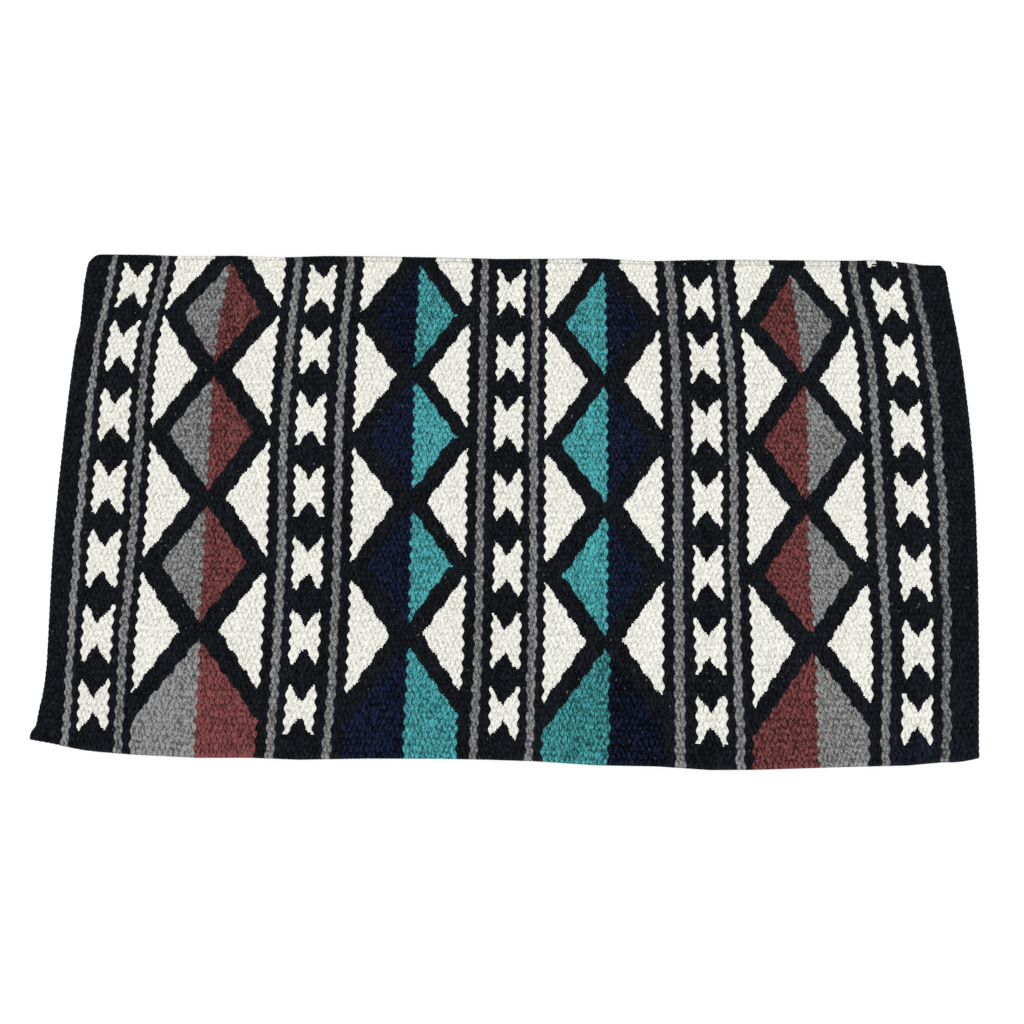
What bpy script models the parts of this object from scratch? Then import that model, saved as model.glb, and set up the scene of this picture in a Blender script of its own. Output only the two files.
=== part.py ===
"""A hand-woven wool saddle blanket, folded in half along its spine.

The warp runs along the horse's spine and the weft runs across the horse. Every colour band is a strip of weft
that goes from the free edge of one half, over the fold, to the free edge of the other. Each band is laid in
with its own yarns, and the bands are held together by the warps that run inside them all.

X runs along the spine, +Y points at the fold, Z is up, and the origin is the middle of the underside.
"""

import math

import bmesh
import bpy
from mathutils import Matrix

# The cloth
SPINE_LENGTH = 0.864
GIRTH_LENGTH = 0.965
CLOTH_THICKNESS = 0.006
CLEARANCE = 0.0003

# The weft bands, from left to right
LEFT_BORDER_WIDTH = 0.0176
RIGHT_BORDER_WIDTH = 0.0246
STRIPE_WIDTH = 0.0078
SPOOL_BAND_WIDTHS = (0.0432, 0.0455, 0.0422, 0.0442, 0.0507)
DIAMOND_BAND_SHARES = (0.2537, 0.2455, 0.2494, 0.2514)
DIAMOND_ACCENTS = ("red", "teal", "teal", "red")

# The edges of the cloth
EDGE_ROUND = 0.0020
CORNER_ROUND = 0.0080
EDGE_WALL = 0.0030

# The warps inside
WARP_THICKNESS = 0.0018
SELVEDGE_WARP_WIDTH = 0.0045

# The two ribs of cloth that turn the fold
RIB_CLEARANCE = 0.0006

# Counts
ROUND_SEGMENTS = 3
CORNER_SEGMENTS = 5
RIB_SIDES = 32

# What follows from the sizes above
FOLDED_DEPTH = GIRTH_LENGTH / 2
LAYER_PITCH = CLOTH_THICKNESS + CLEARANCE
RIB_DIAMETER = LAYER_PITCH - RIB_CLEARANCE
FREE_EDGE_Y = -FOLDED_DEPTH / 2
FOLD_AXIS_Y = FOLDED_DEPTH / 2 - RIB_DIAMETER / 2
LEAF_END_Y = FOLD_AXIS_Y - LAYER_PITCH / 2
LEAF_DEPTH = LEAF_END_Y - FREE_EDGE_Y
LEAF_MIDDLE_Y = (LEAF_END_Y + FREE_EDGE_Y) / 2
SLOT_HEIGHT = WARP_THICKNESS + 2 * CLEARANCE

# The height of the middle of each layer
LAYER_HEIGHTS = {"lower": CLOTH_THICKNESS / 2, "upper": CLOTH_THICKNESS / 2 + LAYER_PITCH}

# Yarn colours, linear red, green and blue
YARN_COLOURS = {
    "black": (0.008, 0.009, 0.012),
    "grey": (0.19, 0.185, 0.18),
    "ivory": (0.80, 0.79, 0.74),
    "red": (0.16, 0.036, 0.036),
    "teal": (0.045, 0.33, 0.32),
}
YARN_ROUGHNESS = 0.9


def clear_scene():
    """Takes away what a new file holds."""
    for thing in list(bpy.data.objects):
        bpy.data.objects.remove(thing, do_unlink=True)


def new_collection(name):
    """A collection in the scene."""
    group = bpy.data.collections.new(name)
    bpy.context.scene.collection.children.link(group)
    return group


def yarn_material(node_name, yarn):
    """A matt wool material of its own for one piece."""
    material = bpy.data.materials.new(f"{node_name}_{yarn}_wool")
    material.use_nodes = True
    shader = material.node_tree.nodes["Principled BSDF"]
    shader.inputs["Base Color"].default_value = (*YARN_COLOURS[yarn], 1.0)
    shader.inputs["Roughness"].default_value = YARN_ROUGHNESS
    shader.inputs["Metallic"].default_value = 0.0
    material.diffuse_color = (*YARN_COLOURS[yarn], 1.0)
    return material


def hinge_empty(name, height, parent=None):
    """An empty on a hinge axis, which runs along X at the fold."""
    empty = bpy.data.objects.new(name, None)
    empty.empty_display_size = LAYER_PITCH
    blanket.objects.link(empty)
    empty.parent = parent
    start_height = parent.location.z if parent else 0.0
    start_y = parent.location.y if parent else 0.0
    empty.location = (0.0, FOLD_AXIS_Y - start_y, height - start_height)
    return empty


def block_mesh(name, size):
    """A box centred on its own origin, with its scale already in its points."""
    mesh = bpy.data.meshes.new(name)
    shape = bmesh.new()
    bmesh.ops.create_cube(shape, size=1.0)
    bmesh.ops.scale(shape, vec=size, verts=shape.verts)
    shape.to_mesh(mesh)
    shape.free()
    return mesh


def round_edges(mesh, wanted, radius, segments):
    """Rounds the edges that the test picks."""
    shape = bmesh.new()
    shape.from_mesh(mesh)
    edges = [edge for edge in shape.edges if wanted(edge)]
    bmesh.ops.bevel(
        shape, geom=edges, offset=radius, offset_type="OFFSET", segments=segments,
        profile=0.5, affect="EDGES", clamp_overlap=True, material=-1,
    )
    shape.to_mesh(mesh)
    shape.free()


def add_piece(name, mesh, yarn, centre, hinge):
    """Puts a piece in the blanket at a place in the world, carried by a hinge or by nothing."""
    piece = bpy.data.objects.new(name, mesh)
    mesh.materials.append(yarn_material(name, yarn))
    blanket.objects.link(piece)
    piece.parent = hinge
    carried = hinge_place(hinge)
    piece.location = tuple(place - base for place, base in zip(centre, carried))
    return piece


def hinge_place(hinge):
    """Where a hinge is in the world: the sum of its own place and those it hangs on."""
    place = [0.0, 0.0, 0.0]
    while hinge:
        place = [total + step for total, step in zip(place, hinge.location)]
        hinge = hinge.parent
    return place


def band_plan():
    """The bands from left to right, as name, low X, high X and yarn."""
    fixed = LEFT_BORDER_WIDTH + RIGHT_BORDER_WIDTH + sum(SPOOL_BAND_WIDTHS)
    stripes = 1 + len(SPOOL_BAND_WIDTHS) + len(DIAMOND_BAND_SHARES)
    diamond_room = SPINE_LENGTH - fixed - stripes * STRIPE_WIDTH
    widths = [("left_border", LEFT_BORDER_WIDTH, "black")]
    for index, spool_width in enumerate(SPOOL_BAND_WIDTHS):
        number = index + 1
        widths.append((f"grey_stripe_{2 * index + 1:02d}", STRIPE_WIDTH, "grey"))
        widths.append((f"spool_band_{number}", spool_width, "black"))
        widths.append((f"grey_stripe_{2 * index + 2:02d}", STRIPE_WIDTH, "grey"))
        if index < len(DIAMOND_BAND_SHARES):
            share = DIAMOND_BAND_SHARES[index] / sum(DIAMOND_BAND_SHARES)
            widths.append((f"diamond_band_{number}", share * diamond_room, DIAMOND_ACCENTS[index]))
    widths.append(("right_border", RIGHT_BORDER_WIDTH, "black"))
    bands = []
    start = -SPINE_LENGTH / 2
    for name, width, yarn in widths:
        bands.append((name, start, start + width, yarn))
        start += width
    return bands


def slot_cutter(layer):
    """The long slot through every band of a layer, where its warps lie. It is blind at both outer ends."""
    length = SPINE_LENGTH - 2 * EDGE_WALL
    depth = LEAF_DEPTH - 2 * EDGE_WALL
    name = f"{layer}_warp_slot"
    cutter = bpy.data.objects.new(name, block_mesh(name, (length, depth, SLOT_HEIGHT)))
    cutter.location = (0.0, LEAF_MIDDLE_Y, LAYER_HEIGHTS[layer])
    cutter.hide_render = True
    cutter.display_type = "WIRE"
    cutters.objects.link(cutter)
    return cutter


def band_mesh(name, low, high):
    """One band of cloth, rounded along the blanket's outer edges."""
    at_left_end = low <= -SPINE_LENGTH / 2
    at_right_end = high >= SPINE_LENGTH / 2 - CLEARANCE
    left = low if at_left_end else low + CLEARANCE / 2
    right = high if at_right_end else high - CLEARANCE / 2
    width = right - left
    mesh = block_mesh(name, (width, LEAF_DEPTH, CLOTH_THICKNESS))
    outer_x = -width / 2 if at_left_end else width / 2
    near = CLEARANCE / 2
    sides = ((-width / 2, at_left_end), (width / 2, at_right_end))
    neighbour_sides = [side for side, outer in sides if not outer]

    def is_outer_corner(edge):
        ends = [vert.co for vert in edge.verts]
        upright = abs(ends[0].z - ends[1].z) > near
        at_free_edge = all(abs(end.y + LEAF_DEPTH / 2) < near for end in ends)
        at_end = all(abs(end.x - outer_x) < near for end in ends)
        return upright and at_free_edge and at_end

    def is_outer_rim(edge):
        ends = [vert.co for vert in edge.verts]
        level = abs(ends[0].z - ends[1].z) < near
        at_fold = all(abs(end.y - LEAF_DEPTH / 2) < near for end in ends)
        at_neighbour = any(all(abs(end.x - side) < near for end in ends) for side in neighbour_sides)
        return level and not at_fold and not at_neighbour

    if at_left_end or at_right_end:
        round_edges(mesh, is_outer_corner, CORNER_ROUND, CORNER_SEGMENTS)
    round_edges(mesh, is_outer_rim, EDGE_ROUND, ROUND_SEGMENTS)
    return mesh, (left + right) / 2


def build_bands(layer, hinge):
    """The bands of one layer, each slotted for the warps."""
    cutter = slot_cutter(layer)
    for name, low, high, yarn in band_plan():
        node = f"{layer}_{name}"
        mesh, middle_x = band_mesh(node, low, high)
        band = add_piece(node, mesh, yarn, (middle_x, LEAF_MIDDLE_Y, LAYER_HEIGHTS[layer]), hinge)
        slot = band.modifiers.new("warp_slot", "BOOLEAN")
        slot.operation = "DIFFERENCE"
        slot.solver = "EXACT"
        slot.object = cutter


def build_warps(layer, hinge):
    """The warps of one layer: the heavy pair along the free edge, and the sheet of single warps behind."""
    length = SPINE_LENGTH - 2 * EDGE_WALL - 2 * CLEARANCE
    front = FREE_EDGE_Y + EDGE_WALL + CLEARANCE
    back = LEAF_END_Y - EDGE_WALL - CLEARANCE
    sheet_front = front + SELVEDGE_WARP_WIDTH + CLEARANCE
    height = LAYER_HEIGHTS[layer]
    pieces = (
        (f"{layer}_selvedge_warps", front, front + SELVEDGE_WARP_WIDTH),
        (f"{layer}_warp_sheet", sheet_front, back),
    )
    for name, start, end in pieces:
        mesh = block_mesh(name, (length, end - start, WARP_THICKNESS))
        add_piece(name, mesh, "ivory", (0.0, (start + end) / 2, height), hinge)


def build_rib(layer, hinge):
    """One of the two ribs that the cloth turns on: weft over a warp, centred on a hinge axis."""
    name = f"fold_rib_{layer}"
    mesh = bpy.data.meshes.new(name)
    shape = bmesh.new()
    bmesh.ops.create_cone(
        shape, cap_ends=True, segments=RIB_SIDES, radius1=RIB_DIAMETER / 2, radius2=RIB_DIAMETER / 2,
        depth=SPINE_LENGTH, matrix=Matrix.Rotation(math.pi / 2, 4, "Y"),
    )
    shape.to_mesh(mesh)
    shape.free()
    mesh.shade_smooth()
    mesh.set_sharp_from_angle(angle=math.pi / 4)
    add_piece(name, mesh, "black", (0.0, FOLD_AXIS_Y, LAYER_HEIGHTS[layer]), hinge)


clear_scene()
blanket = new_collection("saddle_blanket")
cutters = new_collection("saddle_blanket_cutters")

# The lower half lies still, the ribs turn on the lower hinge, and the upper half on the upper one
lower_hinge = hinge_empty("lower_hinge", LAYER_HEIGHTS["lower"])
upper_hinge = hinge_empty("upper_hinge", LAYER_HEIGHTS["upper"], lower_hinge)

build_bands("lower", None)
build_warps("lower", None)
build_rib("lower", lower_hinge)
build_rib("upper", lower_hinge)
build_bands("upper", upper_hinge)
build_warps("upper", upper_hinge)
bpy.context.view_layer.update()
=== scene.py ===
# %% [markdown]
# # A folded saddle blanket, woven pick by pick
#
# The object is a hand-woven wool saddle blanket, folded once along the horse's spine. Its cloth is
# weft-faced: a thick wool weft covers a hidden warp, and every colour change is a change of weft. This
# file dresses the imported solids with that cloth. Each band of each half becomes one woven piece in which
# every single float of yarn has its own bump and its own colour, so the stepped edges of the figures come
# from the weave and not from a picture.

import math

import bmesh
import bpy
import numpy as np
from mathutils import Matrix, Vector


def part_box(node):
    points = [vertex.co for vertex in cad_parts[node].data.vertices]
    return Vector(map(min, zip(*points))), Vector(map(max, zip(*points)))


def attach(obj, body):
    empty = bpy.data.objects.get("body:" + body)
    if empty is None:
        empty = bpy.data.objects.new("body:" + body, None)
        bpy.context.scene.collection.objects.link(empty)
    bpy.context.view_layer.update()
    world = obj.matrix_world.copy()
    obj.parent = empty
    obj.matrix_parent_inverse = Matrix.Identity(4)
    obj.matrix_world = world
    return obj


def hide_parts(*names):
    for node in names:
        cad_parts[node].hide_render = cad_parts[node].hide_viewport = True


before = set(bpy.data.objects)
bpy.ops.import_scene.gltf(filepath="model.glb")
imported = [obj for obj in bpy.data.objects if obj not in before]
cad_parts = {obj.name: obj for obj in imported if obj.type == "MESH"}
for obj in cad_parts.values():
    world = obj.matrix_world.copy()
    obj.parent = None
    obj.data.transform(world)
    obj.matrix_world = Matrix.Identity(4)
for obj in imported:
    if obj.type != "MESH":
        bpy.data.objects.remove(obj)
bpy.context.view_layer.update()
MM = 0.001

# %% [markdown]
# ## The camera
#
# The photograph looks down on the blanket from about 79 degrees, from a little under one metre away. The
# lens and the tilt were fitted to the outline and to the spacing of the bands. The blanket lies turned by
# a fraction of a degree, so the camera is turned about the vertical by that much, and the cloth stays
# square to the axes.

# %% Camera
SENSOR = 36.0
LENS = 36.0
CAMERA_DISTANCE = 0.9655
TILT_FROM_VERTICAL = math.radians(11.3)
TURN = math.radians(0.67)
NEAREST_SEEN = 10.0 * MM
AIM_POINT = Vector((-0.0034, -0.0158, 0.0123))


def turned(vector):
    """A vector of the upright picture, turned with the blanket."""
    c, s = math.cos(TURN), math.sin(TURN)
    return Vector((c * vector.x - s * vector.y, s * vector.x + c * vector.y, vector.z))


looking = turned(Vector((0.0, math.sin(TILT_FROM_VERTICAL), -math.cos(TILT_FROM_VERTICAL))))
rightward = turned(Vector((1.0, 0.0, 0.0)))
upward = rightward.cross(looking)
camera_data = bpy.data.cameras.new("camera")
camera_data.sensor_width = SENSOR
camera_data.sensor_fit = "HORIZONTAL"
camera_data.lens = LENS
camera_data.clip_start = NEAREST_SEEN
camera = bpy.data.objects.new("camera", camera_data)
bpy.context.scene.collection.objects.link(camera)
standing = Matrix((rightward, upward, -looking)).transposed().to_4x4()
camera.matrix_world = Matrix.Translation(turned(AIM_POINT) - looking * CAMERA_DISTANCE) @ standing
bpy.context.scene.camera = camera
print("camera at", [round(value, 3) for value in camera.matrix_world.translation])

# %% [markdown]
# ## Light
#
# Wool is matt, and the photograph shows hardly any shadow. The ivory is equally bright from side to side,
# so the light is an even sky with one very wide, distant lamp. The cloth darkens where it turns down at
# the fold and lightens towards the free edge, so the lamp stands on the free edge's side, and low enough
# to pick out the yarn. The sky is not quite white, so that it doesn't flood the cloth. Where the camera
# looks past the floor it is shown a plain white backdrop in its place.

# %% World and lamp
SKY_STRENGTH = 0.65
LAMP_STRENGTH = 1.60
LAMP_SPREAD = math.radians(40.0)
LAMP_FROM = Vector((-0.45, -0.75, 1.15))

world = bpy.data.worlds.new("soft_sky")
bpy.context.scene.world = world
world.use_nodes = True
sky = world.node_tree.nodes["Background"]
sky.inputs["Color"].default_value = (1.0, 1.0, 1.0, 1.0)
sky.inputs["Strength"].default_value = SKY_STRENGTH
backdrop = world.node_tree.nodes.new("ShaderNodeBackground")
backdrop.inputs["Color"].default_value = (1.0, 1.0, 1.0, 1.0)
looked_at = world.node_tree.nodes.new("ShaderNodeLightPath")
either = world.node_tree.nodes.new("ShaderNodeMixShader")
world.node_tree.links.new(looked_at.outputs["Is Camera Ray"], either.inputs[0])
world.node_tree.links.new(sky.outputs[0], either.inputs[1])
world.node_tree.links.new(backdrop.outputs[0], either.inputs[2])
world.node_tree.links.new(either.outputs[0], world.node_tree.nodes["World Output"].inputs["Surface"])
lamp_data = bpy.data.lights.new("soft_lamp", "SUN")
lamp_data.angle = LAMP_SPREAD
lamp_data.energy = LAMP_STRENGTH
lamp = bpy.data.objects.new("soft_lamp", lamp_data)
lamp.location = LAMP_FROM
lamp.rotation_euler = (-LAMP_FROM).to_track_quat("-Z", "Y").to_euler()
bpy.context.scene.collection.objects.link(lamp)
bpy.context.scene.view_settings.view_transform = "Standard"
print("sky", SKY_STRENGTH, "lamp", LAMP_STRENGTH)

# %% [markdown]
# ## The floor
#
# The blanket lies on a plain white sheet. The floor lights the cloth as white paper would, and it shows
# the camera an almost pure white, with only the faint shadow that a thick cloth casts where it touches
# the paper.

# %% Floor
FLOOR_HALF = 6.0
FLOOR_WHITE = 0.9
SHADOW_SHARE = 0.20
FLOOR_GLOW = 1.06
FLOOR_DROP = 0.4 * MM


def plain_mesh(name, shape):
    """A mesh object from a finished bmesh, with nothing moved."""
    mesh = bpy.data.meshes.new(name)
    shape.to_mesh(mesh)
    shape.free()
    piece = bpy.data.objects.new(name, mesh)
    bpy.context.scene.collection.objects.link(piece)
    return piece


floor_shape = bmesh.new()
bmesh.ops.create_grid(floor_shape, x_segments=1, y_segments=1, size=FLOOR_HALF)
bmesh.ops.translate(floor_shape, vec=(0.0, 0.0, -FLOOR_DROP), verts=floor_shape.verts)
floor = plain_mesh("floor", floor_shape)
paper = bpy.data.materials.new("white_paper")
paper.use_nodes = True
paper_nodes, paper_links = paper.node_tree.nodes, paper.node_tree.links
paper_nodes.clear()
matt = paper_nodes.new("ShaderNodeBsdfDiffuse")
matt.inputs["Color"].default_value = (FLOOR_WHITE, FLOOR_WHITE, FLOOR_WHITE, 1.0)
glow = paper_nodes.new("ShaderNodeEmission")
glow.inputs["Strength"].default_value = FLOOR_GLOW
seen = paper_nodes.new("ShaderNodeLightPath")
share = paper_nodes.new("ShaderNodeMath")
share.operation = "MULTIPLY"
share.inputs[1].default_value = 1.0 - SHADOW_SHARE
blend = paper_nodes.new("ShaderNodeMixShader")
paper_out = paper_nodes.new("ShaderNodeOutputMaterial")
paper_links.new(seen.outputs["Is Camera Ray"], share.inputs[0])
paper_links.new(share.outputs[0], blend.inputs[0])
paper_links.new(matt.outputs[0], blend.inputs[1])
paper_links.new(glow.outputs[0], blend.inputs[2])
paper_links.new(blend.outputs[0], paper_out.inputs["Surface"])
floor.data.materials.append(paper)
print("floor ready")

# %% [markdown]
# ## The bands of the cloth
#
# The warp runs from end to end of the blanket and the weft crosses it, so the colours come in bands.
# Every band is a node of the frame, and its width is read from there. The two edges of each grey stripe
# are then moved by a millimetre or so, to where the hand of the weaver put them, and the bands beside it
# give up that width or take it.
#
# What a weaver counts is picks, the passes of the weft, so each band has its number of picks. The narrow
# grey stripes have four picks, an even number, which is why their two edges sway together like a twisted
# cord. The seventh has five, so its edges swell and narrow together.

# %% Bands, and the picks in each
LEAVES = ("lower", "upper")
SPOOL_PICKS = (18, 18, 18, 18, 21)
DIAMOND_PICKS = (54, 52, 52, 54)
STRIPE_PICKS = {7: 5}
USUAL_STRIPE_PICKS = 4
BORDER_PICKS = {"left_border": 7, "right_border": 10}
STRIPE_SIDES = np.array([
    (1.1, 0.0), (0.0, -0.1), (-0.2, 0.1), (-0.5, -0.6), (0.5, 0.1),
    (0.3, -0.1), (-1.1, 0.1), (-0.1, -0.1), (0.2, 0.5), (-1.4, -1.4),
]) * MM


def stripe_band(number):
    """The name of a grey stripe and its number of picks."""
    return f"grey_stripe_{number:02d}", STRIPE_PICKS.get(number, USUAL_STRIPE_PICKS)


def band_names():
    """The bands from left to right, each with its number of picks."""
    names = [("left_border", BORDER_PICKS["left_border"])]
    for index, spool_picks in enumerate(SPOOL_PICKS):
        names.append(stripe_band(2 * index + 1))
        names.append((f"spool_band_{index + 1}", spool_picks))
        names.append(stripe_band(2 * index + 2))
        if index < len(DIAMOND_PICKS):
            names.append((f"diamond_band_{index + 1}", DIAMOND_PICKS[index]))
    names.append(("right_border", BORDER_PICKS["right_border"]))
    return names


bands = []
first_pick = 0
for name, picks in band_names():
    low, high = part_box(f"upper_{name}")
    bands.append({"name": name, "low": low[0], "high": high[0], "first": first_pick, "picks": picks})
    first_pick += picks
for left, right in zip(bands, bands[1:]):
    left["high"] = right["low"] = (left["high"] + right["low"]) / 2
stripes = [index for index, band in enumerate(bands) if "stripe" in band["name"]]
for index, (low_side, high_side) in zip(stripes, STRIPE_SIDES):
    bands[index - 1]["high"] = bands[index]["low"] = bands[index]["low"] + low_side
    bands[index + 1]["low"] = bands[index]["high"] = bands[index]["high"] + high_side
PICKS = first_pick
for band in bands:
    band["pitch"] = (band["high"] - band["low"]) / band["picks"]
    band["middle"] = (band["high"] + band["low"]) / 2
knots_u = np.array([band["first"] - 0.5 for band in bands] + [PICKS - 0.5])
knots_x = np.array([band["low"] for band in bands] + [bands[-1]["high"]])
pitches = [round(band["pitch"] / MM, 2) for band in bands]
print(len(bands), "bands,", PICKS, "picks, from", min(pitches), "to", max(pitches), "mm each")

# %% [markdown]
# ## The lie of the cloth
#
# A hand-woven cloth is never quite a rectangle. These tables say how this one lies, as measured in the
# plane of the cloth. DRIFT is how far the weave lines lie to the side, with its rows from the free edge
# to the fold and its columns from left to right. The other three are pairs of a place and a shift there:
# the wave of the free edge, the wave of the fold's outer side, and the flare of the left end. The ends
# and the free edge are also a little fuller than the solids, as wool is.
#
# Both halves and every band share these movements, so no seam opens between neighbours. The line that the
# fold turns on stays straight, because its two ribs are hinges, so only their outer side carries the wave
# of the fold.

# %% How the flat cloth really lies
LEAF_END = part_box("upper_diamond_band_2")[1][1]
FREE_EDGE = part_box("upper_diamond_band_2")[0][1]
HALF_LENGTH = -bands[0]["low"]
FOLD_AXIS = (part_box("fold_rib_upper")[0][1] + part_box("fold_rib_upper")[1][1]) / 2
DRIFT_HEM, DRIFT_FOLD = -246.0 * MM, 240.0 * MM
DRIFT = np.array([
    (7.5, 3.5, 2.7, 0.4, -1.9, -3.6, -3.5, -4.4, -1.8, -3.3, -10.9, -12.9),
    (3.6, 0.1, 1.9, 2.4, 0.2, -1.8, -1.5, -3.3, -1.5, -2.1, -3.3, -5.9),
    (-0.7, 0.7, 1.3, 1.2, -0.5, -1.1, -1.1, -1.8, -1.5, -3.7, -1.7, 0.0),
    (-1.2, -1.1, -1.2, -2.2, -1.4, -1.5, -1.4, -1.0, 0.5, 0.0, -1.1, 3.1),
    (1.2, -1.7, -1.2, -2.0, -2.3, -1.8, -1.0, -1.0, -0.1, -0.0, -2.1, -0.6),
    (9.0, 9.8, 5.8, 2.4, 0.2, -0.4, -0.9, -3.7, -5.9, -8.1, -14.6, -9.6),
]) * MM
HEM_PLACES = np.array([
    (-432, 11.5), (-420, 8.2), (-412, 5.6), (-406, 4.6), (-394, 2.6), (-380, 1.2), (-347, -0.9),
    (-288, -3.1), (-240, -2.5), (-194, -3.7), (-130, -2.0), (-63, -1.4), (-20, -1.7), (24, -2.6),
    (80, -5.5), (134, -5.8), (180, -8.4), (218, -7.8), (303, -4.4), (367, -2.4), (400, 0.8),
    (410, 0.9), (418, 1.7), (426, 3.2), (432, 5.0),
]) * MM
FOLD_PLACES = np.array([
    (-432, 0.0), (-380, 0.2), (-347, -1.0), (-288, 0.3), (-240, -1.3), (-194, 1.2), (-130, 1.3),
    (-63, 0.7), (-20, -0.2), (24, 0.6), (80, 1.9), (134, -0.9), (180, 1.0), (218, 2.0),
    (303, 2.2), (350, 2.4), (367, 3.4), (380, 2.6), (396, 0.6), (405, -0.6), (414, -3.0), (432, -3.8),
]) * MM
LEFT_END = np.array([
    (-241, 11.5), (-235.5, 10.9), (-232, 8.2), (-228, 6.3), (-221, 5.6), (-211, 4.3), (-201, 2.6),
    (-186, 1.0), (-166, 0.0), (150, 0.0), (164, -1.2), (203, 2.6), (208, 3.3), (241, 3.4),
]) * MM
LEFT_REACH = 0.021
HEM_REACH = 0.11
FULLNESS = 0.8 * MM
RIGHT_FULLNESS = 1.3 * MM
FULLNESS_REACH = 8.0 * MM


def smooth(low, high, value):
    """0 below low, 1 above high, and an easy curve between."""
    part = np.clip((value - low) / (high - low), 0.0, 1.0)
    return part * part * (3.0 - 2.0 * part)


def through(before, here, there, after, part):
    """A smooth curve from here to there, with the values before and after them."""
    bend = (2 * before - 5 * here + 4 * there - after) + (3 * here - before - 3 * there + after) * part
    return here + 0.5 * part * ((there - before) + bend * part)


def drift(x, y):
    """How far the weave lines lie to the side of their place in the square cloth."""
    rows, columns = DRIFT.shape
    place = np.clip((x / HALF_LENGTH + 1.0) / 2, 0.0, 1.0) * (columns - 1)
    at = np.minimum(place.astype(int), columns - 2)
    near = [np.clip(at + step, 0, columns - 1) for step in (-1, 0, 1, 2)]
    place_y = np.clip((y - DRIFT_HEM) / (DRIFT_FOLD - DRIFT_HEM), 0.0, 1.0) * (rows - 1)
    at_y = np.minimum(place_y.astype(int), rows - 2)
    near_y = [np.clip(at_y + step, 0, rows - 1) for step in (-1, 0, 1, 2)]
    lines = [through(*(DRIFT[row, column] for column in near), place - at) for row in near_y]
    return through(*lines, place_y - at_y)


def lie(x, y):
    """Where a point of the flat, square blanket really lies on the floor."""
    near_hem = smooth(HEM_REACH, 0.0, y - FREE_EDGE)
    new_y = y + np.interp(x, *HEM_PLACES.T) * near_hem
    near_end = smooth(HALF_LENGTH - FULLNESS_REACH, HALF_LENGTH, np.abs(x))
    full_x = np.where(x > 0, RIGHT_FULLNESS, -FULLNESS) * near_end
    full_y = FULLNESS * smooth(FULLNESS_REACH, 0.0, y - FREE_EDGE)
    full_x = full_x - np.interp(y, *LEFT_END.T) * smooth(LEFT_REACH, 0.0, x + HALF_LENGTH)
    return x + drift(x, new_y) + full_x, new_y - full_y


corner_x, corner_y = lie(np.array([HALF_LENGTH]), np.array([LEAF_END]))
print("the right fold corner lies at", round(float(corner_x[0]), 4), round(float(corner_y[0]), 4))

# %% [markdown]
# ## The weaving draft
#
# A weaver works from a draft that says which colour each pick has at each warp. This function is that
# draft, in millimetres. It knows the two traditional figures of the cloth: the spool, tall at its two
# sides and pinched in the middle, and the serrate diamond between two ivory triangles, split down its
# middle into two colours. The figures are counted by hand, so no two columns keep quite the same levels.
# Each spool has its own top and foot. Each crossing of the black lattice has its level, how far above and
# below it the diamonds start, and how far to the left and right of it the triangles have their tips.
#
# The photograph shows the upper half. Over the fold the draft runs on in the same rhythm, measured along
# the middle of the cloth, so a figure that the fold cuts goes on behind it. Some figures and stripes are
# of a slightly lighter or darker lot of yarn, and at one corner of the free edge the black has a blue
# cast.

# %% Yarn colours and the draft
YARNS = ("black", "grey", "ivory", "red", "teal", "navy", "ink")
BLACK, GREY, IVORY, RED, TEAL, NAVY, INK = range(7)
DIAMOND_HALVES = {1: (GREY, RED), 2: (NAVY, TEAL), 3: (TEAL, NAVY), 4: (RED, GREY)}
SPOOL_TOPS = np.array([
    (232.3, 170.5, 101.1, 30.0, -37.6, -109.1, -177.3),
    (232.3, 167.2, 100.5, 29.3, -41.9, -110.1, -178.5),
    (228.1, 163.0, 98.3, 24.9, -42.8, -111.3, -179.4),
    (223.7, 163.9, 97.3, 24.4, -45.8, -115.0, -184.0),
    (224.0, 165.5, 97.9, 26.7, -43.3, -113.7, -181.0),
])
SPOOL_FEET = np.array([
    (185.6, 119.6, 49.2, -21.4, -91.3, -160.0, -221.2),
    (182.8, 118.1, 46.8, -23.0, -91.9, -161.0, -222.9),
    (180.5, 112.5, 42.7, -26.0, -94.7, -162.7, -224.3),
    (177.4, 113.9, 43.6, -27.0, -96.2, -165.4, -227.6),
    (177.7, 113.2, 42.8, -25.2, -95.2, -166.5, -225.3),
])
NEXT_FOOT = (250.0, 250.0, 239.8, 238.6, 234.5)
PAST_FOLD = 400.0
SPOOL_HALF_WIDTH = (13.6, 13.9, 13.0, 13.3, 13.7)
SPOOL_CENTRE = (-0.1, -0.8, 0.1, 0.2, 1.5)
NOTCH_DEPTH = 15.7
NOTCH_SLOPE = 18.7
CROSSINGS = np.array([
    [
        (241.9, 6.7, 7.9, 16.0, 16.0), (121.3, 7.6, 6.2, 16.3, 17.1),
        (-5.8, 8.6, 6.7, 16.8, 17.6), (-130.5, 8.1, 7.2, 17.7, 17.1),
    ], [
        (238.1, 6.7, 4.4, 16.0, 15.0), (118.2, 6.7, 3.4, 16.5, 14.6),
        (-8.0, 9.5, 4.4, 16.0, 15.1), (-132.4, 10.4, 4.8, 16.5, 14.1),
    ], [
        (234.8, 3.6, 7.8, 16.0, 16.0), (115.1, 6.2, 5.8, 16.0, 18.3),
        (-9.8, 3.9, 9.5, 17.4, 16.9), (-135.4, 5.3, 5.8, 17.4, 16.0),
    ], [
        (234.1, 5.4, 7.6, 16.0, 16.0), (117.3, 6.7, 5.3, 16.0, 16.5),
        (-9.0, 7.6, 5.3, 15.5, 16.0), (-136.3, 8.6, 7.6, 15.5, 14.6),
    ],
])
LEAN = 0.03
SIDE_STRIPS = ((8.4, 9.5), (10.7, 9.6), (8.6, 9.9), (9.5, 9.8))
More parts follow.
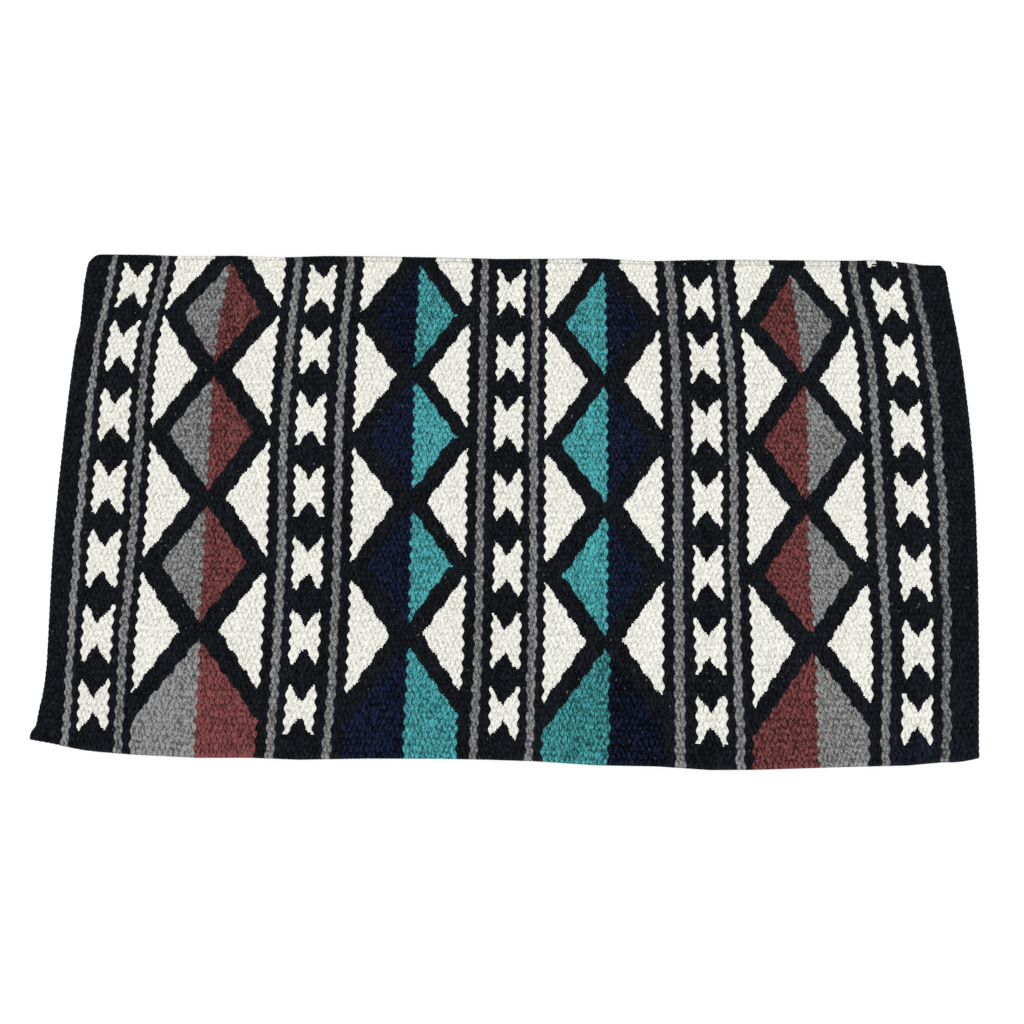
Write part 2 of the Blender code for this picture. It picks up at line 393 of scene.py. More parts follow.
LAST_STRIPS = ((8.4, 9.5), (10.7, 12.2), (8.6, 9.9), (6.9, 12.4))
DIAMOND_CENTRE = (-1.4, 1.5, 0.2, 0.3)
COLOUR_SPLITS = np.array([
    (-2.6, -2.6, -2.6, -2.6, 0.0),
    (1.9, 1.9, 1.9, 1.9, 1.9),
    (2.7, 2.7, 2.7, 2.7, 5.4),
    (0.0, 0.0, 2.6, 2.6, 2.6),
])
DIAMOND_SLOPE = 0.72
TRIANGLE_SLOPE = 0.71
LAST_SLOPE = 0.77
LAST_START = 8.1
HALF_CLOTH = 3.0 * MM
FOLD_LEVEL = (FOLD_AXIS + HALF_CLOTH) / MM
FIRST_LOT = -0.08
MIDDLE_LOT = 0.01
LAST_LOTS = (0.16, -0.05, -0.23, -0.02)
STRIPE_LOTS = {1: 0.06, 10: -0.17}
USUAL_STRIPE_LOT = -0.03
INK_HEM = -217.0
INK_HEM_BANDS = ("spool_band_5", "right_border")


def column_of(band):
    """Which of the spool or diamond bands this is, counted from the left, from 0."""
    return int(band["name"][-1]) - 1


def spools(band, leaf, x, near_x, y):
    """Which places of a spool band are ivory."""
    column = column_of(band)
    middle, half = band["middle"] / MM + SPOOL_CENTRE[column], SPOOL_HALF_WIDTH[column]
    tops = np.append(SPOOL_TOPS[column], PAST_FOLD)
    feet = np.append(SPOOL_FEET[column], NEXT_FOOT[column])
    if leaf == "lower":
        beyond = 2 * FOLD_LEVEL - NEXT_FOOT[column] - tops[0]
        tops, feet = tops[:-1] + beyond, feet[:-1] + beyond
    aside = np.abs(near_x / MM - middle)
    notch = np.maximum(NOTCH_DEPTH - NOTCH_SLOPE * aside / half, 0.0)[..., None]
    within = (y[..., None] < tops - notch) & (y[..., None] > feet + notch)
    return (np.abs(x / MM - middle) < half) & np.any(within, axis=-1)


def lay_diamonds(out, band, leaf, x, near_x, y):
    """Lays the ivory triangles and the two-coloured diamonds between a diamond band's lattice."""
    column = column_of(band)
    aside = near_x / MM - (band["middle"] / MM + DIAMOND_CENTRE[column])
    levels, above, below, left_tip, right_tip = CROSSINGS[column].T
    if leaf == "lower":
        levels = levels + 2 * (FOLD_LEVEL - levels[0])
    past = y[..., None] - LEAN * aside[..., None] - levels
    closest = np.argmin(np.abs(past), axis=-1)
    past = np.take_along_axis(past, closest[..., None], axis=-1)[..., 0]
    start = np.where(past > 0, above[closest], below[closest])
    tip = np.where(aside > 0, right_tip[closest], left_tip[closest])
    last = (closest == len(levels) - 1) & (past < 0)
    from_low, from_high = (x - band["low"]) / MM, (band["high"] - x) / MM
    room = (from_low > SIDE_STRIPS[column][0]) & (from_high > SIDE_STRIPS[column][1])
    last_room = (from_low > LAST_STRIPS[column][0]) & (from_high > LAST_STRIPS[column][1])
    inside = np.abs(aside) < DIAMOND_SLOPE * (np.abs(past) - start)
    inside_last = (np.abs(aside) < LAST_SLOPE * (-past - LAST_START)) & last_room
    coloured = np.where(last, inside_last, inside)
    left_yarn, right_yarn = DIAMOND_HALVES[column + 1]
    split = band["middle"] / MM + COLOUR_SPLITS[column][np.sum(y[..., None] < levels, axis=-1)]
    out[(np.abs(aside) > tip + TRIANGLE_SLOPE * np.abs(past)) & room] = IVORY
    out[coloured & (x / MM < split)] = left_yarn
    out[coloured & (x / MM >= split)] = right_yarn


def draft(band, leaf, x, near_x, near_y):
    """The yarn at a place of the flat cloth. x is the pick's own, near_x and near_y serve the slants."""
    out = np.full(np.shape(x), GREY if "stripe" in band["name"] else BLACK)
    y = near_y / MM
    if leaf == "upper" and band["name"] in INK_HEM_BANDS:
        out[(out == BLACK) & (y < INK_HEM)] = INK
    if "spool" in band["name"]:
        out[spools(band, leaf, x, near_x, y)] = IVORY
    if "diamond" in band["name"]:
        lay_diamonds(out, band, leaf, x, near_x, y)
    return out


def dye_lot(band, y):
    """How much lighter or darker the coloured yarn of a place is than its dye lot's middle."""
    if "stripe" in band["name"]:
        return np.full(np.shape(y), STRIPE_LOTS.get(int(band["name"][-2:]), USUAL_STRIPE_LOT))
    if "diamond" not in band["name"]:
        return np.zeros(np.shape(y))
    column = column_of(band)
    figure = np.sum(y[..., None] / MM < CROSSINGS[column][:, 0], axis=-1)
    return np.select([figure < 2, figure > 3], [FIRST_LOT, LAST_LOTS[column]], MIDDLE_LOT)


print("figures:", SPOOL_TOPS.shape[1], "spools and", CROSSINGS.shape[1], "crossings a column")

# %% [markdown]
# ## The shape of the weave
#
# In a weft-faced weave every pick goes over one warp and under the next, and the pick beside it does the
# opposite. Where a pick is on top it swells to nearly two picks wide and stands proud, and where it dives
# it is squeezed to nothing. One product of two cosines describes that: it moves the boundary between two
# picks sideways and it raises the middle of the float. The same product with the other sign is the back
# of the cloth.
#
# No pick is laid quite straight, so each boundary also wanders by a few slow waves of its own. The edges
# of a grey stripe sway less, and all of its boundaries share two more slow waves, so that the stripe
# wanders as one cord.

# %% The relief of the weave
WARPS = 82
WARP_PITCH = (LEAF_END - FREE_EDGE) / WARPS
SWAY = 0.52
STRIPE_SWAY = 0.43
END_SWAY = 0.2
RELIEF = 0.62 * MM
YARN_GROOVE = 0.22
UNEVEN = 0.11
STRIPE_UNEVEN = 0.16
WOBBLES = 5
SHARED_WOBBLES = 2
WOBBLE_RATES = (0.02, 0.30)
SHARED_RATES = (0.02, 0.14)
FULL_TURN = 2 * math.pi
SEED = 7

pitch_at = np.array([band["pitch"] for band in bands for _ in range(band["picks"])])
boundary_pitch = np.concatenate([pitch_at[:1], (pitch_at[1:] + pitch_at[:-1]) / 2, pitch_at[-1:]])
random = np.random.default_rng(SEED)
wobble_rate = random.uniform(*WOBBLE_RATES, (PICKS + 1, WOBBLES))
wobble_phase = random.uniform(0.0, FULL_TURN, (PICKS + 1, WOBBLES))
wobble_size = random.normal(0.0, UNEVEN, (PICKS + 1, WOBBLES))
wobble_size[:, -SHARED_WOBBLES:] = 0.0
sway_at = np.full(PICKS + 1, SWAY)
for index in stripes:
    own = slice(bands[index]["first"], bands[index]["first"] + bands[index]["picks"] + 1)
    sway_at[[own.start, own.stop - 1]] = STRIPE_SWAY
    wobble_rate[own, -SHARED_WOBBLES:] = random.uniform(*SHARED_RATES, SHARED_WOBBLES)
    wobble_phase[own, -SHARED_WOBBLES:] = random.uniform(0.0, FULL_TURN, SHARED_WOBBLES)
    wobble_size[own, -SHARED_WOBBLES:] = random.normal(0.0, STRIPE_UNEVEN, SHARED_WOBBLES)
sway_at[[0, PICKS]] = END_SWAY
pick_tone = random.normal(0.0, 1.0, PICKS)


def boundary_shift(index, w, turn):
    """How far the line between two picks is moved sideways at warp w, in metres."""
    swing = np.sin(math.pi * (index - 0.5)) * np.cos(math.pi * w) * turn
    turns = wobble_rate[index] * w[:, None] * FULL_TURN + wobble_phase[index]
    hand = np.sum(wobble_size[index] * np.sin(turns), axis=1) * ((index > 0) & (index < PICKS))
    return boundary_pitch[index] * (sway_at[index] * swing + hand)


def place_across(u, w, turn):
    """The place along the blanket of weave coordinates u and w. turn is 1 on the front, -1 on the back."""
    below = np.clip(np.floor(u + 0.5).astype(int), 0, PICKS - 1)
    part = u + 0.5 - below
    straight = np.interp(u, knots_u, knots_x)
    shift_low = boundary_shift(below, w, turn)
    shift_high = boundary_shift(below + 1, w, turn)
    return straight + shift_low * (1.0 - part) + shift_high * part


def relief(u, w, turn):
    """The height of the yarn below its highest level, in metres, always 0 or less."""
    product = np.cos(math.pi * u) * np.cos(math.pi * w) * turn
    groove = YARN_GROOVE * np.cos(2 * math.pi * u) * np.sin(math.pi * w) ** 2
    return RELIEF * (product + groove - 1.0)


print(WARPS, "warps of", round(WARP_PITCH / MM, 2), "mm a half, relief", round(2 * RELIEF / MM, 2), "mm")

# %% [markdown]
# ## Wool
#
# Each yarn is one material. Wool is not one flat colour: single fibres are lighter and darker, each pick
# of yarn differs a little from the next, and the two plies of the yarn twist round each other. The fibres
# are fine noise, drawn out along the yarn and leaning with its twist. The plies are slanting lines in the
# cloth's own weave coordinates. The tone of each float comes from an attribute on its faces. An attribute
# on its points paints shade by how deep a point lies in the weave: darker in the hollows, lighter on the
# floats' tops.
#
# All of these add up to one shade, which picks a place on a ramp from a dark to a light share of the dye.
# Dark yarns show a few pale specks of lint. Fibres and plies drive the bump too, so light catches them.

# %% Wool materials
WOOL_ROUGHNESS = 0.92
WOOL_SPECULAR = 0.06
SHEEN_ROUGHNESS = 0.55
FIBRE_SCALE = (950.0, 310.0, 950.0)
HEATHER_SCALE = 210.0
BLOTCH_SCALE = 9.0
PLY_SCALE = (0.35, 0.97, 1.0)
LINT_SCALE = (520.0, 260.0, 520.0)
LINT_COLOUR = (0.42, 0.41, 0.38, 1.0)
LINT_FROM, LINT_TO = 0.82, 0.88
BRIGHTEST = 0.98
BUMP_DISTANCE = 0.45 * MM
BUMP_STRENGTH = 0.55
PLY_BUMP = 0.7
PLY_DISTORTION = 2.5
PLY_DETAIL = 2.0
FIBRE_DETAIL = 3.0
HEATHER_DETAIL = 2.0
BLOTCH_DETAIL = 1.0
LINT_DETAIL = 0.0
MIDDLE = 0.5


def noise_at(nodes, links, place, scale, detail, lean=0.0):
    """Soft noise, drawn out by its three scales, in lumps to the metre, and leaning by an angle."""
    drawn = nodes.new("ShaderNodeMapping")
    drawn.vector_type = "TEXTURE"
    drawn.inputs["Rotation"].default_value = (0.0, 0.0, lean)
    drawn.inputs["Scale"].default_value = [1.0 / lumps for lumps in scale]
    noise = nodes.new("ShaderNodeTexNoise")
    noise.inputs["Scale"].default_value = 1.0
    noise.inputs["Detail"].default_value = detail
    links.new(place, drawn.inputs["Vector"])
    links.new(drawn.outputs[0], noise.inputs["Vector"])
    return noise.outputs[0]


def weighed(nodes, links, parts, start):
    """The sum of several sources, each with its gain and its own middle taken off."""
    total = None
    for source, gain, middle in parts:
        part = nodes.new("ShaderNodeMath")
        part.operation = "MULTIPLY_ADD"
        part.inputs[1].default_value = gain
        part.inputs[2].default_value = -gain * middle + (start if total is None else 0.0)
        links.new(source, part.inputs[0])
        if total is not None:
            joined = nodes.new("ShaderNodeMath")
            joined.operation = "ADD"
            links.new(total, joined.inputs[0])
            links.new(part.outputs[0], joined.inputs[1])
            total = joined.outputs[0]
        else:
            total = part.outputs[0]
    return total


def wool(
    name, dye, low, high, lean, depth, fibre=3.4, heather=0.12, ply=0.12, blotch=0.2, sheen=0.05, lint=0.0,
):
    """A matt wool yarn of one dye, from low to high times as bright, and how much each thing varies it."""
    material = bpy.data.materials.new(name)
    material.use_nodes = True
    nodes, links = material.node_tree.nodes, material.node_tree.links
    shader = nodes["Principled BSDF"]
    place = nodes.new("ShaderNodeTexCoord").outputs["Object"]
    fibres = noise_at(nodes, links, place, FIBRE_SCALE, FIBRE_DETAIL, lean)
    lots = noise_at(nodes, links, place, (HEATHER_SCALE,) * 3, HEATHER_DETAIL)
    patches = noise_at(nodes, links, place, (BLOTCH_SCALE,) * 3, BLOTCH_DETAIL)
    weave = nodes.new("ShaderNodeUVMap")
    weave.uv_map = "weave"
    slanted = nodes.new("ShaderNodeMapping")
    slanted.inputs["Scale"].default_value = PLY_SCALE
    plies = nodes.new("ShaderNodeTexWave")
    plies.bands_direction = "DIAGONAL"
    plies.inputs["Scale"].default_value = 1.0
    plies.inputs["Distortion"].default_value = PLY_DISTORTION
    plies.inputs["Detail"].default_value = PLY_DETAIL
    links.new(weave.outputs[0], slanted.inputs["Vector"])
    links.new(slanted.outputs[0], plies.inputs["Vector"])
    toned = nodes.new("ShaderNodeAttribute")
    toned.attribute_name = "yarn_tone"
    deep = nodes.new("ShaderNodeAttribute")
    deep.attribute_name = "painted_relief_shade"
    # Painted shade is added in from the points' attribute: darker where the weave is deep, lighter on the
    # tops of the floats.
    shade = weighed(nodes, links, (
        (toned.outputs["Fac"], 1.0, 0.0),
        (fibres, fibre, MIDDLE),
        (lots, heather, MIDDLE),
        (patches, blotch, MIDDLE),
        (plies.outputs["Fac"], ply, MIDDLE),
        (deep.outputs["Fac"], depth, 0.0),
    ), MIDDLE)
    ramp = nodes.new("ShaderNodeValToRGB")
    stops = ramp.color_ramp.elements
    stops.new(MIDDLE)
    for stop, share_of_dye in zip(stops, (low, 1.0, high)):
        stop.color = (*(min(channel * share_of_dye, BRIGHTEST) for channel in dye), 1.0)
    links.new(shade, ramp.inputs["Fac"])
    dyed = ramp.outputs["Color"]
    if lint:
        specks = nodes.new("ShaderNodeMapRange")
        specks.inputs["From Min"].default_value = LINT_FROM
        specks.inputs["From Max"].default_value = LINT_TO
        specks.inputs["To Max"].default_value = lint
        dust = noise_at(nodes, links, place, LINT_SCALE, LINT_DETAIL)
        links.new(dust, specks.inputs["Value"])
        dusted = nodes.new("ShaderNodeMix")
        dusted.data_type = "RGBA"
        dusted.inputs["B"].default_value = LINT_COLOUR
        links.new(specks.outputs["Result"], dusted.inputs["Factor"])
        links.new(dyed, dusted.inputs["A"])
        dyed = dusted.outputs["Result"]
    links.new(dyed, shader.inputs["Base Color"])
    fibres_and_plies = ((fibres, 1.0, MIDDLE), (plies.outputs["Fac"], PLY_BUMP, MIDDLE))
    bump = nodes.new("ShaderNodeBump")
    bump.inputs["Strength"].default_value = BUMP_STRENGTH
    bump.inputs["Distance"].default_value = BUMP_DISTANCE
    links.new(weighed(nodes, links, fibres_and_plies, MIDDLE), bump.inputs["Height"])
    links.new(bump.outputs[0], shader.inputs["Normal"])
    shader.inputs["Roughness"].default_value = WOOL_ROUGHNESS
    shader.inputs["Specular IOR Level"].default_value = WOOL_SPECULAR
    shader.inputs["Sheen Weight"].default_value = sheen
    shader.inputs["Sheen Roughness"].default_value = SHEEN_ROUGHNESS
    return material


# The sixth number of each yarn is how strongly the painted relief shade darkens its hollows and lightens
# its floats.
wools = {
    BLACK: wool("black_yarn", (0.0033, 0.0041, 0.0056), 0.2, 3.5, 0.0, 0.27, sheen=0.02, lint=0.35),
    GREY: wool("grey_yarn", (0.134, 0.132, 0.132), 0.28, 2.5, 0.5, 0.33),
    IVORY: wool("ivory_yarn", (0.775, 0.770, 0.710), 0.62, 1.25, -0.35, 0.30, sheen=0.08),
    RED: wool("red_yarn", (0.0755, 0.0218, 0.0218), 0.2, 3.3, 0.15, 0.32),
    TEAL: wool("teal_yarn", (0.0410, 0.222, 0.236), 0.22, 2.2, 0.15, 0.33),
    NAVY: wool(
        "navy_yarn", (0.0017, 0.0028, 0.0083), 0.1, 6.2, 0.0, 0.45, fibre=4.2, sheen=0.02, lint=0.3,
    ),
    INK: wool("ink_yarn", (0.0042, 0.0054, 0.0096), 0.2, 3.4, 0.0, 0.27, sheen=0.02, lint=0.4),
}
print("yarns:", [YARNS[index] for index in wools])

# %% [markdown]
# ## Weaving one band of one half
#
# A flat grid is given three cells for every pick and three for every warp, and Solidify's operator turns
# it into a closed slab, so one piece has a front, a back and a rim. Then every point is moved: across by
# the sway of the picks, up or down by the relief, round the free edge or the end of the cloth where there
# is one, and at last to where the cloth lies. The points of the grid only carry counts, so the same few
# lines weave all the bands. The lower half is hardly seen and gets two cells for a pick.
#
# At the fold a band ends in a short lip and a round socket, in which its rib turns. The two ends of the
# fold are rounded corners. The upper half lies on the lower one in very gentle waves, as a thick cloth
# does.

# %% Weaving
CELLS_PER_PICK = {"upper": 3, "lower": 2}
CELLS_PER_WARP = 3
EDGE_RADIUS = 3.0 * MM
EDGE_STEPS = 3
LIP = 1.4 * MM
LIP_ROOM = 0.25 * MM
SOCKET_RADIUS = 3.15 * MM
SOCKET_ANGLES = np.radians((178.0, 162.0, 145.0, 127.0))
CORNER_RADII = (14.5 * MM, 12.5 * MM)
CORNER_REACH = 0.035
RIB_ROOM = FOLD_AXIS - LEAF_END
LEAST_ROW = 0.1
LIP_EASE = (-0.4, -0.6)
LIP_CALM = 0.5
BILLOW = 0.8 * MM
BILLOW_ALONG = 19.0
BILLOW_DOWN = 27.0
BILLOW_SLANT = 8.0
BILLOW_START = 2.0
BILLOW_REACH = 0.1
PIECE_BODY = {"upper": "upper_half", "lower": "lower_half"}
SLANT_CUT = 0.6
PICK_TONE = 0.6
FLOAT_TONE = 0.8
YARN_SPREAD = np.array([0.10, 0.08, 0.035, 0.06, 0.07, 0.08, 0.10])
float_tone = {leaf: random.normal(0.0, 1.0, (2, PICKS, WARPS + 2)) for leaf in LEAVES}


def arc_steps(count):
    """Distances from an edge, as shares of its radius, that divide a quarter turn evenly."""
    return 1.0 - np.cos(np.linspace(0.0, math.pi / 2, count + 1))


def weave_rows():
    """The warp coordinate of each row of points, from the socket of the fold's rib to the free edge."""
    lip = np.full(len(SOCKET_ANGLES) + 1, -0.5 - LIP / WARP_PITCH)
    usual = np.arange(WARPS * CELLS_PER_WARP + 1) / CELLS_PER_WARP - 0.5
    last = WARPS - 0.5 - EDGE_RADIUS / WARP_PITCH * arc_steps(EDGE_STEPS)[::-1]
    return np.concatenate([lip, usual[usual < last[0] - LEAST_ROW], last])


def weave_columns(band, cells):
    """The pick coordinate of each column of points. The outermost pick of the cloth turns round its end."""
    columns = band["first"] - 0.5 + np.arange(band["picks"] * cells + 1) / cells
    if band["first"] == 0:
        columns[: cells + 1] = -0.5 + arc_steps(cells)
    if band["first"] + band["picks"] == PICKS:
        columns[-cells - 1:] = PICKS - 0.5 - arc_steps(cells)[::-1]
    return columns


def roundness(distance):
    """How thick the cloth is at a distance from its edge, given as a share of the edge's radius."""
    return np.sqrt(np.clip(1.0 - (1.0 - np.clip(distance, 0.0, 1.0)) ** 2, 0.0, 1.0))


def corner_pull(x, y):
    """How far the ends of the cloth are drawn in by the rounded corners at the fold."""
    radius = np.where(x < 0, *CORNER_RADII)
    from_tip = np.clip(LEAF_END + 2 * RIB_ROOM - y, 0.0, radius)
    pull = radius - np.sqrt(radius**2 - (radius - from_tip) ** 2)
    return np.sign(x) * pull * smooth(HALF_LENGTH - CORNER_REACH, HALF_LENGTH, np.abs(x))


def billow(flat_x, flat_y):
    """How far the upper half stands off the lower one, in slow waves that die out at the fold."""
    along = np.sin(flat_x * BILLOW_ALONG + BILLOW_START)
    down = np.sin(flat_y * BILLOW_DOWN + flat_x * BILLOW_SLANT)
    return BILLOW * (0.5 + 0.25 * along + 0.25 * down) * smooth(0.0, BILLOW_REACH, LEAF_END - flat_y)


def grid_slab(columns, rows):
    """A closed slab of plain cells, and which column, row and side each of its points belongs to."""
    shape = bmesh.new()
    bmesh.ops.create_grid(shape, x_segments=columns, y_segments=rows, size=1.0)
    bmesh.ops.solidify(shape, geom=shape.faces[:], thickness=1.0)
    mesh = bpy.data.meshes.new("slab")
    shape.to_mesh(mesh)
    shape.free()
    flat = np.empty(len(mesh.vertices) * 3)
    mesh.vertices.foreach_get("co", flat)
    flat = flat.reshape(-1, 3)
    column = np.rint((flat[:, 0] + 1.0) / 2.0 * columns).astype(int)
    row = np.rint((1.0 - flat[:, 1]) / 2.0 * rows).astype(int)
    return mesh, column, row, np.where(flat[:, 2] > -0.5, 1.0, -1.0)


def corners_of(mesh):
    """The four points of every face."""
    found = np.empty(len(mesh.loops), dtype=int)
    mesh.loops.foreach_get("vertex_index", found)
    return found.reshape(-1, 4)


def dress(mesh, corners, u, w, depth, yarns, tones, smooth_faces):
    """Gives the faces their yarns and tones, and the points their depth, which paints shade, and their
    weave coordinates.
    """
    used = sorted(set(yarns.tolist()))
    for yarn in used:
        mesh.materials.append(wools[yarn])
    mesh.polygons.foreach_set("material_index", np.searchsorted(used, yarns))
    mesh.attributes.new("yarn_tone", "FLOAT", "FACE").data.foreach_set("value", tones)
    # Painted shade: each point's depth in the weave, which the wool turns into darker hollows and lighter
    # floats.
    mesh.attributes.new("painted_relief_shade", "FLOAT", "POINT").data.foreach_set("value", depth)
    weave_map = np.stack([u[corners.ravel()], w[corners.ravel()]], axis=1)
    mesh.uv_layers.new(name="weave").data.foreach_set("uv", weave_map.ravel())
    mesh.polygons.foreach_set("use_smooth", np.full(len(corners), smooth_faces))
    mesh.update()


def band_yarns(band, leaf, corners, u, w, side, flat_x, y):
    """The yarn and the tone of each face of a band, as its float has them."""
    face_u, face_w, face_side = u[corners].mean(1), w[corners].mean(1), side[corners].mean(1)
    back = (face_side < -0.5).astype(int)
    pick = np.clip(np.rint(face_u), band["first"], band["first"] + band["picks"] - 1).astype(int)
    odd = (pick + back) % 2
    warp = np.clip(2 * np.rint((face_w - odd) / 2) + odd, 0, WARPS - 1).astype(int)
    own_x = np.interp(pick, knots_u, knots_x)
    own_y = lie(own_x, LEAF_END - (warp + 0.5) * WARP_PITCH)[1]
    near_x = own_x + SLANT_CUT * (flat_x[corners].mean(1) - own_x)
    near_y = own_y + SLANT_CUT * (y[corners].mean(1) - own_y)
    yarns = draft(band, leaf, own_x, near_x, near_y)
    undyed = (yarns == BLACK) | (yarns == IVORY)
    tones = PICK_TONE * pick_tone[pick] + FLOAT_TONE * float_tone[leaf][back, pick, warp]
    return yarns, tones * YARN_SPREAD[yarns] + np.where(undyed, 0.0, dye_lot(band, near_y))


def weave_band(band, leaf):
    """One band of one half of the blanket, woven, rounded at its edges and laid in place."""
    node = f"{leaf}_{band['name']}"
    low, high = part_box(node)
    columns, rows = weave_columns(band, CELLS_PER_PICK[leaf]), weave_rows()
    mesh, column, row, side = grid_slab(len(columns) - 1, len(rows) - 1)
    u, w = columns[column], rows[row]
    hem = roundness((WARPS - 0.5 - w) * WARP_PITCH / EDGE_RADIUS)
    full = hem * (roundness(u + 0.5) * roundness(PICKS - 0.5 - u))
    flat_x = place_across(u, w, side)
    flat_y = LEAF_END - (w + 0.5) * WARP_PITCH
    in_socket = row < len(SOCKET_ANGLES)
    angle = SOCKET_ANGLES[np.minimum(row, len(SOCKET_ANGLES) - 1)]
    flat_y = np.where(in_socket, FOLD_AXIS + SOCKET_RADIUS * np.cos(angle), flat_y)
    hem_groove = RELIEF * YARN_GROOVE * 2 * (1.0 - np.cos(2 * math.pi * u)) * (1.0 - hem)
    x, y = lie(flat_x, flat_y)
    x = x - corner_pull(flat_x, flat_y)
    half_thick = (high[2] - low[2]) / 2
    rise = half_thick + relief(u, w, side) * (1.0 - LIP_CALM * smooth(*LIP_EASE, w))
    rise = np.where(in_socket, np.minimum(SOCKET_RADIUS * np.sin(angle), rise - LIP_ROOM), rise)
    z = (high[2] + low[2]) / 2 + side * rise * full
    if leaf == "upper":
        z = z + billow(flat_x, flat_y)
    mesh.vertices.foreach_set("co", np.stack([x, y + hem_groove, z], axis=1).ravel())
    corners = corners_of(mesh)
    yarns, tones = band_yarns(band, leaf, corners, u, w, side, flat_x, y)
    # The relief of each point goes to the wool as painted shade.
    dress(mesh, corners, u, w, relief(u, w, side) / RELIEF + 1.0, yarns, tones, leaf == "upper")
    piece = bpy.data.objects.new(f"{node}_weave", mesh)
    mesh.name = piece.name
    bpy.context.scene.collection.objects.link(piece)
    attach(piece, PIECE_BODY[leaf])
    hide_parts(node)
    return piece


for leaf in LEAVES:
    for band in bands:
        weave_band(band, leaf)

# %% [markdown]
# ## The two ribs of the fold
#
# The cloth turns over two of its warps. Each is a round rib with the picks wrapped across it, and it
# turns on its own axis when the blanket is opened. A rib is the same weave rolled into a tube: the grid
# goes once round, its two long sides are welded, and its ends are closed. Where the fold waves outwards
# only the outermost part of the tube follows, and so the rest of it stays round in its socket. Shade is
# painted on the rib's yarns: a little all round, and more as they turn under.

# %% Fold ribs
RIB_CELLS = 3
RIB_AROUND = 12
RIB_RADIUS = 3.05 * MM
RIB_TIP = 3.0 * MM
RIB_RELIEF = 0.3
RIB_LOOK = {"upper": (math.radians(45.0), -1.0), "lower": (math.radians(-45.0), 1.0)}
RIB_END_SHARE = 0.35
WAVE_POWERS = (4, 1)
# Painted shade on the ribs: a darkening all round, and a further one as the yarn turns under.
PAINTED_FOLD_SHADE = (-0.10, -0.35)
SHADE_TURN = math.radians(70.0)
WELD_DISTANCE = 0.001 * MM


def weave_rib(leaf):
    """One rib of the fold, a tube of picks round a single warp."""
    facing, turn = RIB_LOOK[leaf]
    node = f"fold_rib_{leaf}"
    low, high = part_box(node)
    shape = bmesh.new()
    bmesh.ops.create_grid(shape, x_segments=PICKS * RIB_CELLS, y_segments=RIB_AROUND, size=1.0)
    mesh = bpy.data.meshes.new(f"{node}_weave")
    shape.to_mesh(mesh)
    shape.free()
    flat = np.empty(len(mesh.vertices) * 3)
    mesh.vertices.foreach_get("co", flat)
    flat = flat.reshape(-1, 3)
    u = (flat[:, 0] + 1.0) / 2.0 * PICKS - 0.5
    around = -flat[:, 1] * math.pi
    straight = np.interp(u, knots_u, knots_x)
    tip = roundness((HALF_LENGTH - np.abs(straight)) / RIB_TIP)
    depth = relief(u, around / math.pi, turn)
    radius = (RIB_RADIUS + RIB_RELIEF * depth) * (RIB_END_SHARE + (1.0 - RIB_END_SHARE) * tip)
    flat_x = place_across(u, around / math.pi, turn)
    outward = np.cos(facing + around)
    wave = np.interp(flat_x, *FOLD_PLACES.T)
    wave = wave * np.maximum(outward, 0.0) ** np.where(wave > 0, *WAVE_POWERS)
    y = FOLD_AXIS + radius * outward + wave
    x = lie(flat_x, np.full(len(u), FOLD_AXIS))[0] - corner_pull(flat_x, y)
    z = (low[2] + high[2]) / 2 + radius * np.sin(facing + around)
    mesh.vertices.foreach_set("co", np.stack([x, y, z], axis=1).ravel())
    corners = corners_of(mesh)
    pick = np.clip(np.rint(u[corners].mean(1)), 0, PICKS - 1).astype(int)
    from_face = math.pi / 2 + turn * (facing + around)[corners].mean(1)
    level = FOLD_AXIS + HALF_CLOTH * np.abs(from_face) / math.pi
    yarns = np.zeros(len(corners), dtype=int)
    for band in bands:
        own = (pick >= band["first"]) & (pick < band["first"] + band["picks"])
        own_x = np.interp(pick[own], knots_u, knots_x)
        yarns[own] = draft(band, leaf, own_x, own_x, level[own])
    tones = PICK_TONE * pick_tone[pick] + FLOAT_TONE * float_tone[leaf][0, pick, WARPS]
    # Painted shade: the rib's yarns are darker all round, and darker still where they turn under.
    turned_under = np.clip(from_face / SHADE_TURN, 0.0, 1.0) ** 2
    tones = YARN_SPREAD[yarns] * tones + PAINTED_FOLD_SHADE[0] + PAINTED_FOLD_SHADE[1] * turned_under
    # The rib's relief goes to the wool as painted shade.
    dress(mesh, corners, u, around / math.pi, depth / RELIEF + 1.0, yarns, tones, True)
    shape = bmesh.new()
    shape.from_mesh(mesh)
    bmesh.ops.remove_doubles(shape, verts=shape.verts[:], dist=WELD_DISTANCE)
    open_ends = [edge for edge in shape.edges if edge.is_boundary]
    bmesh.ops.holes_fill(shape, edges=open_ends, sides=RIB_AROUND)
    shape.to_mesh(mesh)
    shape.free()
    piece = bpy.data.objects.new(mesh.name, mesh)
    bpy.context.scene.collection.objects.link(piece)
    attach(piece, "fold_spine")
    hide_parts(node)
    return piece


ribs = {leaf: weave_rib(leaf) for leaf in LEAVES}
print("ribs:", [len(rib.data.polygons) for rib in ribs.values()], "faces")

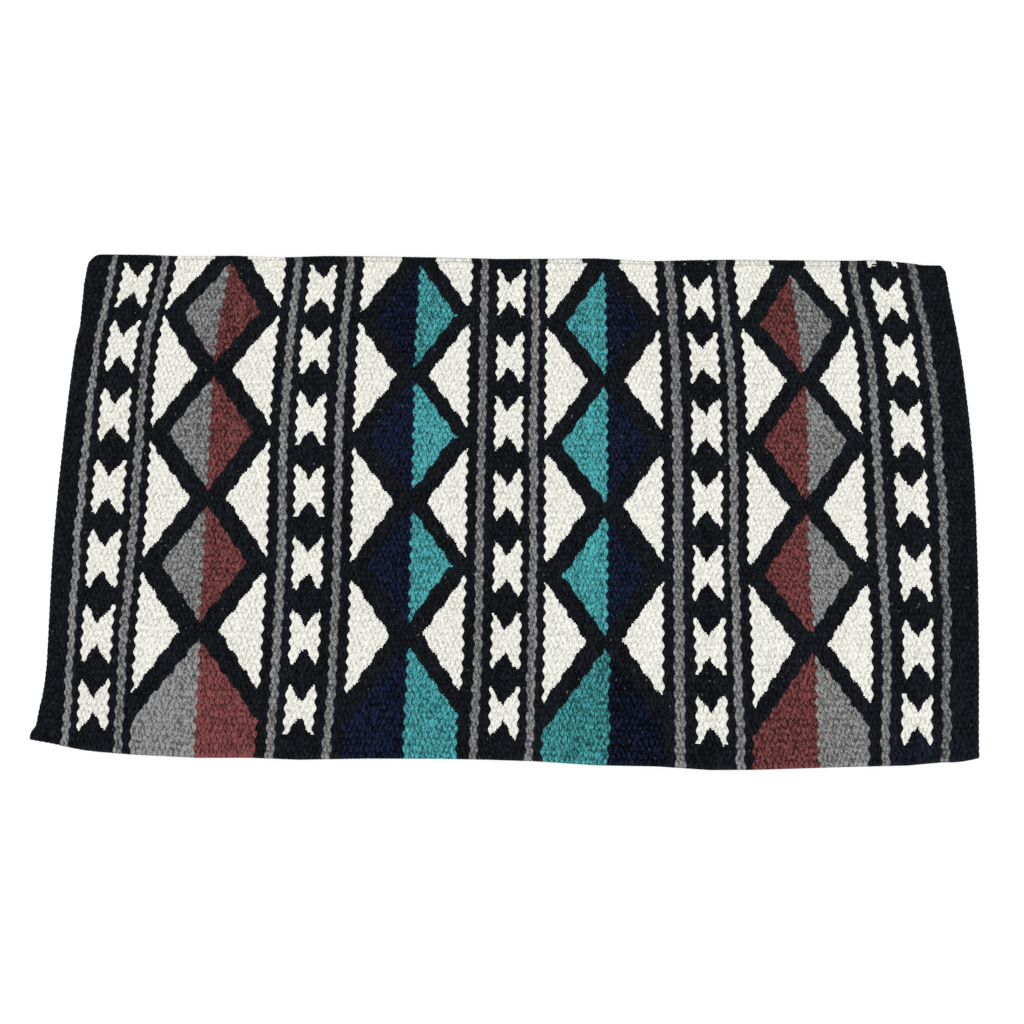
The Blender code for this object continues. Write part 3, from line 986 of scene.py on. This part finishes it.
# %% [markdown]
# ## The warps inside
#
# Ivory wool warps run through all the bands and hold them side by side. They are hidden in the cloth, and
# they are still laid as warps: one ridge for each, and two heavier ones along the free edge. They follow
# the same lie as the cloth, so none comes out at a corner.

# %% Warps
WARP_COLUMNS = 40
WARP_INSET = 6.0 * MM
VALLEY = 0.55


def lay_warps(node, leaf, ridges):
    """The warps of one node, as a thin ridged slab that follows the cloth."""
    low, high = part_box(node)
    mesh, column, row, side = grid_slab(WARP_COLUMNS, 2 * ridges)
    flat_x = (column / WARP_COLUMNS * 2 - 1.0) * (-low[0] - WARP_INSET)
    flat_y = high[1] - row / (2 * ridges) * (high[1] - low[1])
    half_thick = (high[2] - low[2]) / 2
    on_ridge = row % 2 == 1
    x, y = lie(flat_x, flat_y)
    x = x - corner_pull(flat_x, flat_y)
    z = (high[2] + low[2]) / 2 + side * half_thick * np.where(on_ridge, 1.0, VALLEY)
    if leaf == "upper":
        z = z + billow(flat_x, flat_y)
    mesh.vertices.foreach_set("co", np.stack([x, y, z], axis=1).ravel())
    corners = corners_of(mesh)
    yarns, tones = np.full(len(corners), IVORY), np.zeros(len(corners))
    # Painted shade: the valleys between the warp ridges are darker, the ridges lighter.
    depth = np.where(on_ridge, 1.0, -1.0)
    dress(mesh, corners, flat_y / WARP_PITCH, flat_x / WARP_PITCH, depth, yarns, tones, True)
    piece = bpy.data.objects.new(f"{node}_yarns", mesh)
    mesh.name = piece.name
    bpy.context.scene.collection.objects.link(piece)
    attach(piece, PIECE_BODY[leaf])
    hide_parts(node)
    return piece


warps = {}
for leaf in LEAVES:
    warps[leaf, "sheet"] = lay_warps(f"{leaf}_warp_sheet", leaf, WARPS - 2)
    warps[leaf, "selvedge"] = lay_warps(f"{leaf}_selvedge_warps", leaf, 2)
print("warps laid in", len(warps), "pieces")

# %% [markdown]
# ## Going over the bands
#
# The bands of each half are gone through, and the narrow grey stripes are passed over. The grey
# stripes are narrower than a sheet may be, so each is named as a piece on the spool band that it
# borders.

# %% Going over the bands
for leaf in LEAVES:
    for index, band in enumerate(bands):
        if "stripe" in band["name"]:
            continue
